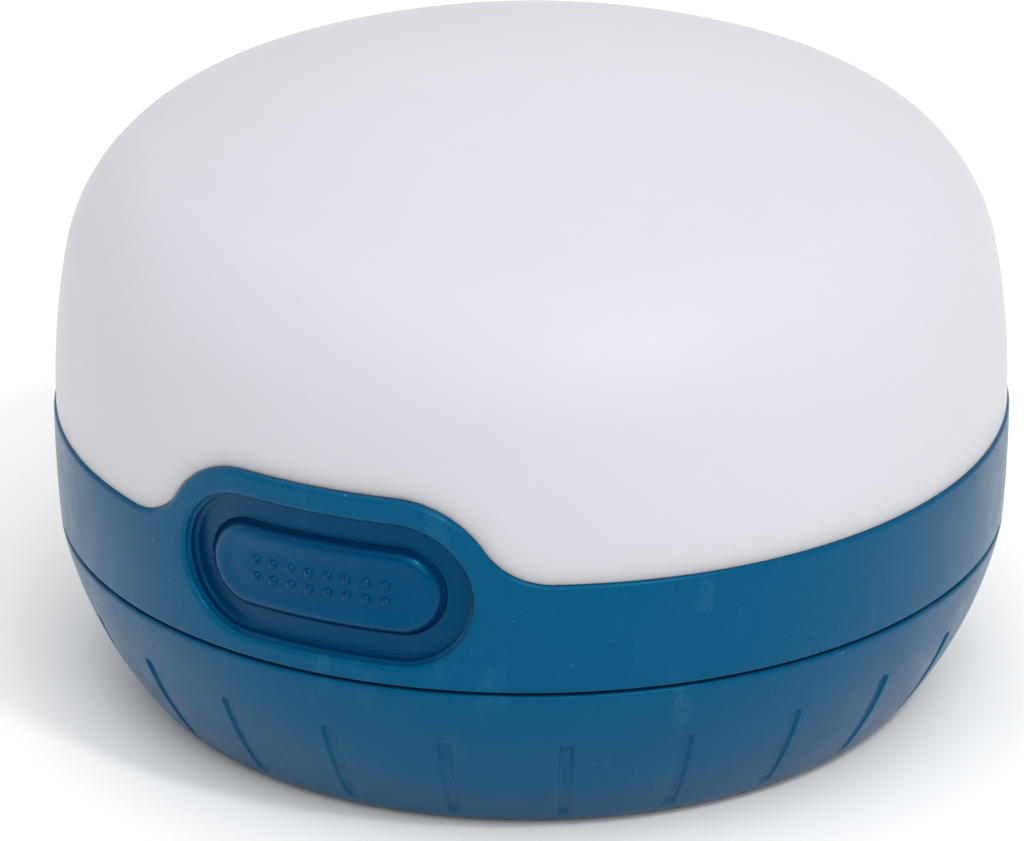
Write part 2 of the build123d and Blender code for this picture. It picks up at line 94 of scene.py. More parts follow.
MIX_FIRST, MIX_LAST, MIX_RESULT = 6, 7, 2      # places of a Mix node's colour sockets


def blend_colours(tree, factor, first, last):
    """Colour output between two colours, or from a colour output to a colour."""
    node = add(tree, "Mix", data_type="RGBA")
    tree.links.new(factor, node.inputs["Factor"])
    for socket, colour in ((MIX_FIRST, first), (MIX_LAST, last)):
        if isinstance(colour, tuple):
            node.inputs[socket].default_value = colour
        else:
            tree.links.new(colour, node.inputs[socket])
    return node.outputs[MIX_RESULT]


def bump(tree, height, depth):
    """Normal output of a bump that is depth metres high."""
    node = add(tree, "Bump", Strength=1.0, Distance=depth)
    tree.links.new(height, node.inputs["Height"])
    return node.outputs["Normal"]


FINER = 2.3             # the roughness varies over smaller patches than the colour does


def finish_surface(material, colour, spread, spread_scale, rough, grain, grain_scale):
    """Gives a material mottled colour, uneven roughness between two values, and a fine grain."""
    tree = material.node_tree
    bsdf = tree.nodes["Principled BSDF"]
    darker = tuple(c * (1 - spread) for c in colour[:3]) + (1.0,)
    lighter = tuple(min(1.0, c * (1 + spread)) for c in colour[:3]) + (1.0,)
    tint = blend_colours(tree, noise(tree, spread_scale), darker, lighter)
    tree.links.new(tint, bsdf.inputs["Base Color"])
    uneven = ramp(tree, noise(tree, spread_scale * FINER), 0.3, 0.7, *rough)
    tree.links.new(uneven, bsdf.inputs["Roughness"])
    tree.links.new(bump(tree, noise(tree, grain_scale, 2.0), grain), bsdf.inputs["Normal"])
    return tint


def product(tree, first, second):
    """Output of two factors multiplied."""
    node = add(tree, "Math", operation="MULTIPLY")
    tree.links.new(first, node.inputs[0])
    tree.links.new(second, node.inputs[1])
    return node.outputs["Value"]


def stretched_noise(tree, across, along):
    """Factor output of a noise drawn out along Z, with that many cells to the metre each way."""
    scaled = add(tree, "Mapping", Scale=(across, across, along))
    tree.links.new(place(tree), scaled.inputs["Vector"])
    pattern = add(tree, "TexNoise", Scale=1.0, Detail=2.0)
    tree.links.new(scaled.outputs["Vector"], pattern.inputs["Vector"])
    return pattern.outputs["Fac"]


# Cells to the metre of the patterns that the dust is made of.
SPECK_CELLS, SPECK_PATCHES = 620.0, 900.0
SCUFF_ACROSS, SCUFF_ALONG, SCUFF_BREAKS = 380, 110, 3600
GRAIN_CELLS = 4200


def dust(material, tint, amount):
    """Puts a fine grain, a few upright scuffs and pale specks over a material's colour."""
    tree = material.node_tree
    cells = add(tree, "TexVoronoi", Scale=SPECK_CELLS)
    tree.links.new(place(tree), cells.inputs["Vector"])
    spots = ramp(tree, cells.outputs["Distance"], 0.07, 0.03, 0.0, 1.0)
    specks = product(tree, spots, ramp(tree, noise(tree, SPECK_PATCHES, 0.0), 0.58, 0.66, 0.0, amount))
    streaks = stretched_noise(tree, SCUFF_ACROSS, SCUFF_ALONG)
    scuffs = product(tree, ramp(tree, streaks, 0.60, 0.82, 0.0, 0.32 * amount),
                     ramp(tree, noise(tree, SCUFF_BREAKS, 2.0), 0.35, 0.70, 0.0, 1.0))
    grain = ramp(tree, noise(tree, GRAIN_CELLS, 2.0), 0.45, 0.80, 0.0, 0.25 * amount)
    tint = blend_colours(tree, grain, tint, PALE_BLUE)
    for factor in (scuffs, specks):
        tint = blend_colours(tree, factor, tint, DUST)
    tree.links.new(tint, tree.nodes["Principled BSDF"].inputs["Base Color"])


BLUE, PALE_BLUE = srgb(0, 69, 105), srgb(12, 104, 146)
# the second colour is painted shade: the rubber's colour darkened for the bottom of the moat
RUBBER, MOAT_SHADE = srgb(0, 49, 87), srgb(0, 41, 78)
DUST = srgb(110, 150, 178)
SHEEN_TINT = (0.12, 0.66, 1.0, 1.0)             # the moulded colour tints its own gloss
RUBBER_TINT = (0.03, 0.55, 1.0, 1.0)
MOAT_SHADE_FULL, MOAT_SHADE_NONE = 34.75 * MM, 35.55 * MM  # distances from Z over which painted shade darkens the moat, fully at the first


def blue_plastic():
    """Satin moulded plastic with a fine grain."""
    material = shader("blue_plastic", Specular_IOR_Level=0.28, Specular_Tint=SHEEN_TINT)
    tint = finish_surface(material, BLUE, spread=0.05, spread_scale=140, rough=(0.27, 0.36),
                          grain=0.000006, grain_scale=5200)
    dust(material, tint, 0.55)
    return material


def from_axis(tree):
    """Output of each point's distance from the Z axis, in metres."""
    flat = add(tree, "VectorMath", operation="MULTIPLY")
    flat.inputs[1].default_value = (1, 1, 0)
    tree.links.new(place(tree), flat.inputs[0])
    reach = add(tree, "VectorMath", operation="LENGTH")
    tree.links.new(flat.outputs["Vector"], reach.inputs[0])
    return reach.outputs["Value"]


def blue_rubber():
    """Soft key rubber: glossier than the shell, with painted shade that darkens it towards the bottom of
    the moat.
    """
    material = shader("blue_rubber", Specular_IOR_Level=0.60, Specular_Tint=RUBBER_TINT)
    tree = material.node_tree
    tint = finish_surface(material, RUBBER, spread=0.05, spread_scale=160, rough=(0.22, 0.32),
                          grain=0.000022, grain_scale=5200)
    # painted shade: the rubber is blended towards a darker colour the deeper it lies in the moat
    depth = ramp(tree, from_axis(tree), MOAT_SHADE_FULL, MOAT_SHADE_NONE, 1.0, 0.0)
    dust(material, blend_colours(tree, depth, tint, MOAT_SHADE), 0.12)
    return material


def frosted_plastic():
    """Milky polycarbonate that light sinks into."""
    material = shader("frosted_plastic", Subsurface_Weight=0.8, Subsurface_Radius=(1.0, 1.0, 1.0),
                      Subsurface_Scale=0.006, Specular_IOR_Level=0.30)
    finish_surface(material, srgb(197, 198, 206), spread=0.006, spread_scale=60, rough=(0.42, 0.50),
                   grain=0.000004, grain_scale=4200)
    return material


def metal(name, colour, rough):
    """Plated or plain metal, faintly mottled."""
    material = shader(name, Metallic=1.0)
    finish_surface(material, colour, spread=0.08, spread_scale=260, rough=rough,
                   grain=0.000004, grain_scale=3800)
    return material


def plain(name, colour, rough, grain=0.00001, spread=0.06, **sockets):
    """Moulded plastic, rubber, foam or board."""
    material = shader(name, **sockets)
    finish_surface(material, colour, spread, spread_scale=220, rough=rough,
                   grain=grain, grain_scale=3000)
    return material


def make_materials():
    """One material for each of the record's slots."""
    return {
        "blue_plastic": blue_plastic(),
        "blue_rubber": blue_rubber(),
        "frosted_plastic": frosted_plastic(),
        "black_rubber": plain("black_rubber", srgb(32, 32, 34), (0.6, 0.8)),
        "foam": plain("foam", srgb(92, 92, 95), (0.85, 0.95), grain=0.00012, spread=0.15),
        "wire_steel": metal("wire_steel", srgb(196, 198, 202), (0.18, 0.30)),
        "black_plastic": plain("black_plastic", srgb(38, 38, 41), (0.38, 0.5)),
        "cell_can": metal("cell_can", srgb(176, 178, 184), (0.22, 0.34)),
        "nickel": metal("nickel", srgb(214, 208, 196), (0.16, 0.28)),
        "board_green": plain("board_green", srgb(24, 96, 56), (0.25, 0.4), grain=0.000006, spread=0.12),
        "white_plastic": plain("white_plastic", srgb(238, 238, 234), (0.25, 0.35),
                               grain=0.000004, spread=0.01),
        "clear_lens": plain("clear_lens", srgb(240, 232, 170), (0.05, 0.12),
                            grain=0.000001, spread=0.04, Coat_Weight=0.5),
        "ceramic_tan": plain("ceramic_tan", srgb(168, 128, 88), (0.4, 0.6), grain=0.000008, spread=0.1),
        "screw_steel": metal("screw_steel", srgb(178, 180, 184), (0.25, 0.4)),
    }


# ---- mesh building ------------------------------------------------------------------------
# Outlines are in millimetres, as pairs (across, up) or (radius, up), or (reach, depth) round the button:
# reach is the distance from the button's spine, and depth is measured down from the body's surface.
def line(first, last, steps):
    """Evenly spaced points from first to last, both included."""
    return [tuple(a + (b - a) * i / steps for a, b in zip(first, last)) for i in range(steps + 1)]


def arc(centre, radius, first, last, steps):
    """Evenly spaced points on an arc between two angles in degrees, both included."""
    angles = [radians(a[0]) for a in line((first,), (last,), steps)]
    return [(centre[0] + radius * cos(a), centre[1] + radius * sin(a)) for a in angles]


def chain(*stretches):
    """One outline of stretches that each start where the one before ends."""
    points = list(stretches[0])
    for stretch in stretches[1:]:
        points += stretch[1:]
    return points


def bar(inner, outer, low, high):
    """Outline of a rectangle between two radii and two heights."""
    return [(inner, low), (outer, low), (outer, high), (inner, high)]


def polar(radius, angle, z):
    """Point at an angle in radians from the button's side, towards +X."""
    return (radius * sin(angle), -radius * cos(angle), z)


def smooth(value):
    """0 below 0, 1 above 1, and a smooth rise between."""
    t = min(1.0, max(0.0, value))
    return t * t * (3 - 2 * t)


WELD = 0.0005 * MM      # points nearer to each other than this become one


class Shape:
    """A mesh in the making, in millimetres. Points that meet are welded when it is finished."""

    def __init__(self):
        self.points, self.faces = [], []

    def skin(self, rows, closed=False):
        """Faces over rows of points; closed joins the ends of each row."""
        start, wide = len(self.points), len(rows[0])
        for row in rows:
            self.points.extend(row)
        for j in range(len(rows) - 1):
            for i in range(wide if closed else wide - 1):
                a = start + j * wide + i
                b = start + j * wide + (i + 1) % wide
                self.faces.append((a, b, b + wide, a + wide))

    def twin_skin(self, rows):
        """Faces over rows of points and over their mirror image across the middle."""
        self.skin(rows)
        self.skin([[(-x, y, z) for x, y, z in reversed(row)] for row in rows])

    def turn(self, outline, first=0.0, last=360.0, steps=180):
        """Solid ring of a closed outline turned about Z, or a stretch of it with flat ends."""
        angles = [radians(a[0]) for a in line((first,), (last,), steps)]
        whole = last - first >= 360
        loop = list(outline) + [outline[0]]
        rows = [[polar(r, a, z) for a in (angles[:-1] if whole else angles)] for r, z in loop]
        self.skin(rows, closed=whole)
        for angle in () if whole else (angles[0], angles[-1]):
            start = len(self.points)
            self.points.extend(polar(r, angle, z) for r, z in outline)
            self.faces.append(tuple(range(start, start + len(outline))))

    def make(self, name, material, body, slot, *nodes, crease=38.0):
        """Finished piece that rides on a body and stands for these CAD nodes."""
        mesh = bpy.data.meshes.new(name)
        mesh.from_pydata([(x * MM, y * MM, z * MM) for x, y, z in self.points], [], self.faces)
        work = bmesh.new()
        work.from_mesh(mesh)
        bmesh.ops.remove_doubles(work, verts=work.verts, dist=WELD)
        bmesh.ops.recalc_face_normals(work, faces=work.faces)
        for face in work.faces:
            face.smooth = True
        work.to_mesh(mesh)
        work.free()
        mesh.set_sharp_from_angle(angle=radians(crease))
        mesh.materials.append(material)
        piece = bpy.data.objects.new(name, mesh)
        bpy.context.collection.objects.link(piece)
        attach(piece, body)
        if nodes:
            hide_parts(*nodes)
        return piece


# ---- the lantern's outlines ---------------------------------------------------------------
SEAM_R, SEAM_LOW, SEAM_HIGH = 35.72, 13.35, 13.65
BODY_R, EDGE_Z, RING_IN = 36.05, 22.27, 34.20
BUTTON_Z, SPINE, WINDOW_R, BUMP_R, BUMP_FOOT = 20.85, 6.0, 5.65, 7.60, 5.5
BUMP_FLARE = 0.0244                 # widening of the surround for each millimetre of height
BELLY, BELLY_BEND = 0.0062, 0.00373     # the ring's slope and bend below its top edge
HALF = 19.0                         # half width of the stretch round the button
SIDE_TOP, SIDE_LOW = 4, -14         # where the stretch's side starts and ends, seen from the spine's end

# Steps of mesh: along the spine, round the surround's corner and its foot, along the level edge,
# down the stretch's side, along its low edge, and round the rest of the body.
SPINE_STEPS, CORNER_STEPS, FOOT_STEPS, LEVEL_STEPS = 16, 24, 20, 8
SIDE_STEPS, LOW_STEPS, BACK_STEPS = 6, 30, 160

FOOT_Z = EDGE_Z + BUMP_FOOT
FOOT_X = SPINE + sqrt((BUMP_R + BUMP_FOOT) ** 2 - (FOOT_Z - BUTTON_Z) ** 2)
TURN = degrees(atan2(FOOT_Z - BUTTON_Z, FOOT_X - SPINE))


def body_radius(z):
    """Outside of the ring: a slightly bellied wall that flares up the button's surround."""
    if z > EDGE_Z:
        return BODY_R + BUMP_FLARE * (z - EDGE_Z)
    down = EDGE_Z - z
    return BODY_R - BELLY * down - BELLY_BEND * down**2


def edge_half(inset):
    """Right half of the ring's top edge, from over the button out to HALF, moved in by inset."""
    top = EDGE_Z - inset
    crown = BUTTON_Z + BUMP_R - inset
    return chain(
        line((0, crown), (SPINE, crown), SPINE_STEPS),
        arc((SPINE, BUTTON_Z), BUMP_R - inset, 90, TURN, CORNER_STEPS),
        arc((FOOT_X, FOOT_Z), BUMP_FOOT + inset, TURN + 180, 270, FOOT_STEPS),
        line((FOOT_X, top), (HALF, top), LEVEL_STEPS))


def track_half(reach):
    """Right half of the outline at that reach from the button's spine, with the border's steps."""
    end = (SPINE, BUTTON_Z)
    return chain(
        line((0, BUTTON_Z + reach), (SPINE, BUTTON_Z + reach), SPINE_STEPS),
        arc(end, reach, 90, TURN, CORNER_STEPS),
        arc(end, reach, TURN, SIDE_TOP, FOOT_STEPS + LEVEL_STEPS),
        arc(end, reach, SIDE_TOP, SIDE_LOW, SIDE_STEPS),
        arc(end, reach, SIDE_LOW, -90, LOW_STEPS),
        line((SPINE, BUTTON_Z - reach), (0, BUTTON_Z - reach), SPINE_STEPS))


def low_half(z):
    """Right half of a level edge below the button, with as many steps as the outline over it."""
    return chain(line((0, z), (SPINE, z), SPINE_STEPS), line((SPINE, z), (HALF, z), LOW_STEPS))


def side_heights(top, low):
    """Heights of the rows where the stretch round the button meets the rest of the ring."""
    return [z for (z,) in line((top,), (low,), SIDE_STEPS)]


def border_half(inset, low):
    """Right half of the whole stretch's border: its top edge, its side and its low edge."""
    side = [(HALF, z) for z in side_heights(EDGE_Z - inset, low)]
    return chain(edge_half(inset), side, low_half(low)[::-1])


def on_front(point, radius):
    """Point on the body's front, across and up, at that distance from Z."""
    x, z = point
    return (x, -sqrt(radius**2 - x**2), z)


def front_row(half, radius_of):
    """Row of points on the front, at the radius that radius_of gives for each height."""
    return [on_front(point, radius_of(point[1])) for point in half]


def behind(radius, z, part):
    """Point round the back, part of the way from one side of the button's stretch to the other."""
    start = asin(HALF / radius)
    return polar(radius, start + (2 * pi - 2 * start) * part, z)


def round_row(half, radius_of):
    """Closed row: the half outline, round the back at its last height, and its mirror image."""
    right = front_row(half, radius_of)
    z = half[-1][1]
    back = [behind(radius_of(z), z, i / BACK_STEPS) for i in range(1, BACK_STEPS)]
    left = [(-x, y, z) for x, y, z in reversed(right)]
    return right + back + left[:-1]


def rounding(size, steps=6):
    """Pairs (inset along the surface, depth below it) round an edge, from the surface outwards."""
    return [(size * (1 - sin(a)), size * (1 - cos(a)))
            for a in (pi / 2 * i / steps for i in range(steps + 1))]


# ---- the visible pieces -------------------------------------------------------------------
RING_EDGE, RING_FOOT, LIP = 0.38, 0.22, 0.45        # roundings of the ring's edges
LEDGE_IN, LEDGE_OUT, LEDGE_LOW, LEDGE_HIGH = 27.0, 32.2, 17.5, 18.7
LEDGE_OPEN, SKIRT_OPEN = 22, 28     # degrees each way from the button that are left out of these rings
INTO_WALL = 0.2                     # a part inside the ring reaches this far into its wall
BAYONETS = (60, 180, 300)           # middles of the bayonet catches, from the button's side
CATCH_IN, CATCH_OUT, CATCH_LOW, CATCH_HIGH = 33.0, 34.4, 14.0, 15.0
LUG_OUT, LUG_HIGH = 33.9, 16.4
CATCH_HALF, LUG_HALF, STOP_SPAN = 12, 9, 2          # degrees round the body


def ring_wall(shape, radius_of, reach, inset, low):
    """Wall round the button's window and round the back, between the ring's two edges."""
    window, border, steps = track_half(reach), border_half(inset, low), 10
    rows = []
    for step in range(steps + 1):
        t = step / steps
        mixed = [(a[0] + (b[0] - a[0]) * t, a[1] + (b[1] - a[1]) * t) for a, b in zip(window, border)]
        rows.append(front_row(mixed, radius_of))
    shape.twin_skin(rows)
    shape.skin([[behind(radius_of(z), z, i / BACK_STEPS) for i in range(BACK_STEPS + 1)]
                for z in side_heights(EDGE_Z - inset, low)])


def body_ring(material):
    """Upper shell with the window, its rounded lip and the raised surround."""
    shape = Shape()
    ring_wall(shape, body_radius, WINDOW_R + LIP, RING_EDGE, SEAM_HIGH + RING_FOOT)
    ring_wall(shape, lambda z: RING_IN, WINDOW_R, 0, SEAM_HIGH)
    lip = [front_row(track_half(WINDOW_R + inset), lambda z, d=depth: body_radius(z) - d)
           for inset, depth in rounding(LIP)]
    lip.append(front_row(track_half(WINDOW_R), lambda z: RING_IN))
    shape.twin_skin(lip)
    top = [round_row(edge_half(inset), lambda z, d=depth: body_radius(z) - d)
           for inset, depth in rounding(RING_EDGE)]
    top.append(round_row(edge_half(0), lambda z: RING_IN))
    shape.skin(top, closed=True)
    foot = [round_row(low_half(SEAM_HIGH + inset), lambda z, d=depth: body_radius(z) - d)
            for inset, depth in rounding(RING_FOOT)]
    foot.append(round_row(low_half(SEAM_HIGH), lambda z: RING_IN))
    shape.skin(foot, closed=True)
    shape.turn(bar(LEDGE_IN, LEDGE_OUT, LEDGE_LOW, LEDGE_HIGH))
    outer_ledge = bar(LEDGE_OUT, RING_IN + INTO_WALL, LEDGE_LOW, LEDGE_HIGH)
    shape.turn(outer_ledge, LEDGE_OPEN, 360 - LEDGE_OPEN)
    for middle in BAYONETS:
        first, last = middle - CATCH_HALF, middle + CATCH_HALF
        shape.turn(bar(CATCH_IN, CATCH_OUT, CATCH_LOW, CATCH_HIGH), first, last, 20)
        shape.turn(bar(CATCH_IN, CATCH_OUT, CATCH_HIGH, LUG_HIGH), last - STOP_SPAN, last, 3)
    return shape.make("upper_shell", material, "body", "blue_plastic", "body_ring")


def loop_skin(shape, profile):
    """Closed skin whose rows run round the button, one for each (reach, depth)."""
    rows = [front_row(track_half(reach), lambda z, d=depth: body_radius(z) - d) for reach, depth in profile]
    shape.twin_skin(rows)


def button_moat(material):
    """Soft moat between the window's lip and the key: a steep wall, a hollow corner and a floor."""
    floor, wall, wall_depth = 1.35, 5.64, 0.8
    lean, hollow = 26.0, 0.5
    top, back, key_side = 0.44, 1.80, 3.44
    wall_end = (wall - (floor - wall_depth) * sin(radians(lean)), wall_depth)
    middle = (wall_end[0] - hollow * cos(radians(lean)), wall_end[1] + hollow * sin(radians(lean)))
    drop = floor - hollow - middle[1]
    corner = [(reach, depth + drop) for reach, depth in arc(middle, hollow, -lean, 90, 9)]
    curl = [(4.3, floor), (3.85, floor), (3.65, floor - 0.02), (3.54, floor - 0.06), (3.47, floor - 0.10)]
    under = [(key_side, floor - 0.04), (key_side, back), (wall, back), (wall, top)]
    shape = Shape()
    loop_skin(shape, [(wall, top)] + corner + curl + under)
    return shape.make("button_moat", material, "body", "blue_rubber", "button_boot", crease=50)


FACE_REACH, FACE_DEPTH, FACE_HOLLOW, FACE_SLOPE, SHOULDER = 2.55, 0.40, 0.12, 1.2, 0.70


def key_depth(reach):
    """Depth of the key's slightly hollow face below the body's surface."""
    return FACE_DEPTH + FACE_HOLLOW * smooth((FACE_REACH - reach) / FACE_SLOPE)


def circle(radius, steps):
    """Points round a circle about (0, 0)."""
    return [(radius * cos(a), radius * sin(a)) for a in (2 * pi * i / steps for i in range(steps))]


def grip_dots(shape):
    """Two rows of eight low domes on the key's face."""
    pitch, row, count = 1.53, 0.65, 8
    dome = [(0.43, -0.04), (0.385, 0.01), (0.35, 0.09), (0.305, 0.18), (0.225, 0.26), (0.12, 0.305),
            (0.0, 0.32)]
    for i in range(count):
        for z in (BUTTON_Z - row, BUTTON_Z + row):
            angle = asin(pitch * (i - (count - 1) / 2) / BODY_R)
            face_radius = body_radius(z) - key_depth(row)
            shape.skin([[polar(face_radius + high, angle + across / face_radius, z + up)
                         for across, up in circle(wide, 24)] for wide, high in dome], closed=True)


def stem(shape):
    """Round stem behind the key, which ends just short of the switch's pin."""
    radius, ends, steps = 1.2, (-34.25, -30.62), 32
    rings = [[(x, y, BUTTON_Z + z) for x, z in circle(radius, steps)] for y in ends]
    centres = [[(0, y, BUTTON_Z)] * steps for y in ends]
    shape.skin([centres[0], *rings, centres[1]], closed=True)


def button_key(material):
    """The key: sloping sides, a rounded shoulder, a hollow face, sixteen grip dots and a stem."""
    back, side_reach = 1.85, 3.42
    side = [(0.0, back), (side_reach, back), (side_reach, 1.36), (3.38, 1.27), (3.31, 1.19)]
    shoulder = arc((FACE_REACH, FACE_DEPTH + SHOULDER), SHOULDER, 0, -90, 12)
    face = [(reach, key_depth(reach)) for (reach,) in line((2.5,), (0.0,), 13)]
    shape = Shape()
    loop_skin(shape, side + shoulder + face)
    grip_dots(shape)
    stem(shape)
    return shape.make("button_key", material, "button", "blue_rubber", "button_cap", crease=60)


GLOBE_R, GLOBE_WALL, GLOBE_Z = 35.85, 1.8, EDGE_Z + 0.12
GLOBE_GAP, GLOBE_EDGE = 0.02, 0.12  # gap to the ring's edge, and rounding of the globe's own
GLOBE_START = 88.7                  # heading of the wall at its foot, in degrees from +r
GLOBE_TURNS = ((56.6, 100.7), (12.28, 156.1))       # radius and last heading of the lower two arcs
GLOBE_STEPS = (18, 30, 22)
SKIRT = bar(32.7, 34.05, 19.8, 22.6)


def globe_arcs():
    """The dome's tangent arcs, as (centre r, centre z, radius, heading at the end)."""
    arcs, r, z, heading = [], GLOBE_R, GLOBE_Z, radians(GLOBE_START)
    for radius, end in GLOBE_TURNS:
        centre = (r - radius * sin(heading), z + radius * cos(heading))
        heading = radians(end)
        arcs.append((*centre, radius, heading))
        r, z = centre[0] + radius * sin(heading), centre[1] - radius * cos(heading)
    crown = r / sin(heading)
    arcs.append((0.0, z + crown * cos(heading), crown, pi))
    return arcs


def globe(material):
    """Frosted dome with its own thickness, cut out round the button's surround."""
    arcs = globe_arcs()
    side_r, side_z, side_radius, _ = arcs[0]

    def wall_radius(z, depth=0.0):
        return side_r + sqrt((side_radius - depth) ** 2 - (z - side_z) ** 2)

    def dome(inset, depth):
        """Rows from the edge up to the apex, at that depth below the outside."""
        half = edge_half(inset)
        start = round_row(half, lambda z: wall_radius(z, depth))
        rows = [start]
        columns = [(atan2(x, -y), acos((side_z - z) / (side_radius - depth))) for x, y, z in start]
        for (centre_r, centre_z, radius, end), steps in zip(arcs, GLOBE_STEPS):
            for step in range(1, steps + 1):
                row = []
                for angle, heading in columns:
                    h = heading + (end - heading) * step / steps
                    row.append(polar(centre_r + (radius - depth) * sin(h), angle,
                                     centre_z - (radius - depth) * cos(h)))
                rows.append(row)
            columns = [(angle, end) for angle, _ in columns]
        return rows

    shape = Shape()
    shape.skin(dome(-GLOBE_GAP - GLOBE_EDGE, 0.0), closed=True)
    shape.skin(dome(-GLOBE_GAP, GLOBE_WALL), closed=True)
    edge = [round_row(edge_half(-GLOBE_GAP - inset), lambda z, d=depth: wall_radius(z) - d)
            for inset, depth in rounding(GLOBE_EDGE)]
    edge.append(round_row(edge_half(-GLOBE_GAP), lambda z: wall_radius(z, GLOBE_WALL)))
    shape.skin(edge, closed=True)
    shape.turn(SKIRT, SKIRT_OPEN, 360 - SKIRT_OPEN)
    return shape.make("frosted_globe", material, "body", "frosted_plastic", "globe", crease=50)


BASE_ARC_R, BASE_LEAN, BASE_FOOT_R = 29.45, 12.0, 2.9
BASE_CR = SEAM_R - BASE_ARC_R * cos(radians(BASE_LEAN))
BASE_CZ = SEAM_LOW + BASE_ARC_R * sin(radians(BASE_LEAN))
FLAT_R = BASE_CR + sqrt((BASE_ARC_R - BASE_FOOT_R) ** 2 - (BASE_FOOT_R - BASE_CZ) ** 2)
FOOT_ANGLE = degrees(atan2(BASE_FOOT_R - BASE_CZ, FLAT_R - BASE_CR))
POCKET_R, POCKET_Z = 22.3, 3.4
SCOOP_R, SCOOP_Y, SCOOP_Z = 5.2, 23.8, -2.2
SEAL_IN, SEAL_OUT, SEAL_LOW = 33.5, 34.9, 12.65
COLLAR_IN, COLLAR_OUT, COLLAR_TOP, FLOOR_Z = 31.5, 32.7, 17.2, 4.8
CLIP_X, CLIP_Y = 3.6, 3.0
GROOVES, GROOVE_WIDE, GROOVE_LOW, GROOVE_HIGH = 24, 1.05, 1.4, 8.9
SECTOR = 360 / GROOVES


def groove_depth(across, z, fall):
    """Depth of a grip groove; fall is how far the surface there faces down, from 0 to 1."""
    corner, soft, deep = 0.34, 0.27, 0.45
    middle, tall = (GROOVE_LOW + GROOVE_HIGH) / 2, (GROOVE_HIGH - GROOVE_LOW) / 2
    over = (abs(across) - GROOVE_WIDE / 2 + corner, abs(z - middle) - tall + corner)
    outside = sqrt(max(over[0], 0) ** 2 + max(over[1], 0) ** 2) + min(max(over), 0) - corner
    return max(0.0, deep - 0.5 * fall) * smooth(-outside / soft + 0.25)


def arc_row(centre_r, centre_z, radius, angle):
    """Point on an arc at an angle in degrees, with the way out from it: (r, z, outward r, outward z)."""
    a = radians(angle)
    return (centre_r + radius * cos(a), centre_z + radius * sin(a), cos(a), sin(a))


def base_outside():
    """Outline of the base from its top edge to the flat, with closer rows at the grooves' tops."""
    rows, edge, above, below = [], 0.25, 0.3, 0.7
    for inset, depth in reversed(rounding(edge, 5)):
        lean = -BASE_LEAN - degrees(inset / BASE_ARC_R)
        rows.append(arc_row(BASE_CR, BASE_CZ, BASE_ARC_R - depth, lean))
    start = -BASE_LEAN - degrees(edge / BASE_ARC_R)
    top_end, below_end = [degrees(asin((z - BASE_CZ) / BASE_ARC_R))
                          for z in (GROOVE_HIGH + above, GROOVE_HIGH - below)]
    stretches = ((start, top_end, 10), (top_end, below_end, 14), (below_end, FOOT_ANGLE, 20))
    for first, last, steps in stretches:
        rows += [arc_row(BASE_CR, BASE_CZ, BASE_ARC_R, angle)
                 for (angle,) in line((first,), (last,), steps)[1:]]
    rows += [arc_row(FLAT_R, BASE_FOOT_R, BASE_FOOT_R, angle)
             for (angle,) in line((FOOT_ANGLE,), (-90,), 16)[1:]]
    return rows


def groove_angles():
    """Angles round the base in radians, close together at each groove."""
    half = 1.15
    fine = [a for (a,) in line((-half,), (half,), 26)]
    coarse = [a for (a,) in line((half,), (SECTOR - half,), 10)][1:-1]
    return [radians(SECTOR * i + a) for i in range(GROOVES) for a in fine + coarse]


def grooved(angle, r, z, out_r, out_z):
    """Point on the base's outside, sunk where it lies in a grip groove."""
    off = (angle + radians(SECTOR / 2)) % radians(SECTOR) - radians(SECTOR / 2)
    depth = groove_depth(off * r, z, -out_z)
    return polar(r - depth * out_r, angle, z - depth * out_z)


def scooped(point):
    """Point lifted out of the two finger scoops in the underside."""
    x, y, z = point
    off = sqrt(x**2 + (abs(y) - SCOOP_Y) ** 2)
    if off >= SCOOP_R:
        return point
    return (x, y, max(z, SCOOP_Z + sqrt(SCOOP_R**2 - off**2)))


def base_shell(material):
    """Lower shell: bellied outside with grip grooves, pocket underneath, collar and floor inside."""
    pocket_edge, roof_edge = 0.5, 0.4
    angles, outside = groove_angles(), base_outside()
    under = chain(line((FLAT_R, 0), (POCKET_R + pocket_edge, 0), 10),
                  arc((POCKET_R + pocket_edge, pocket_edge), pocket_edge, -90, -180, 5),
                  line((POCKET_R, pocket_edge), (POCKET_R, POCKET_Z - roof_edge), 10),
                  arc((POCKET_R - roof_edge, POCKET_Z - roof_edge), roof_edge, 0, 90, 4),
                  [(0, POCKET_Z), (0, POCKET_Z)])
    inside = [outside[0][:2], (SEAL_OUT, SEAM_LOW), (SEAL_OUT, SEAL_LOW), (SEAL_IN, SEAL_LOW),
              (SEAL_IN, SEAM_LOW), (COLLAR_OUT, SEAM_LOW), (COLLAR_OUT, COLLAR_TOP),
              (COLLAR_IN, COLLAR_TOP), (COLLAR_IN, 6.62), (31.0, 5.64), (30.47, FLOOR_Z), (0, FLOOR_Z)]
    rows = [[grooved(angle, *point) for angle in angles] for point in outside]
    rows += [[polar(r, angle, z) for angle in angles] for r, z in under[1:]]
    shape = Shape()
    shape.skin([[scooped(point) for point in row] for row in rows], closed=True)
    shape.skin([[polar(r, angle, z) for angle in angles] for r, z in inside], closed=True)
    play, overlap = 0.12, 0.1
    lug = bar(COLLAR_OUT - overlap, LUG_OUT, CATCH_HIGH + play, LUG_HIGH)
    for middle in BAYONETS:
        shape.turn(lug, middle - LUG_HALF, middle + LUG_HALF, 16)
    for side in (1, -1):
        for x in (-CLIP_X, CLIP_X):
            hook_clip(shape, x, side)
    return shape.make("lower_shell", material, "base", "blue_plastic", "base_shell")


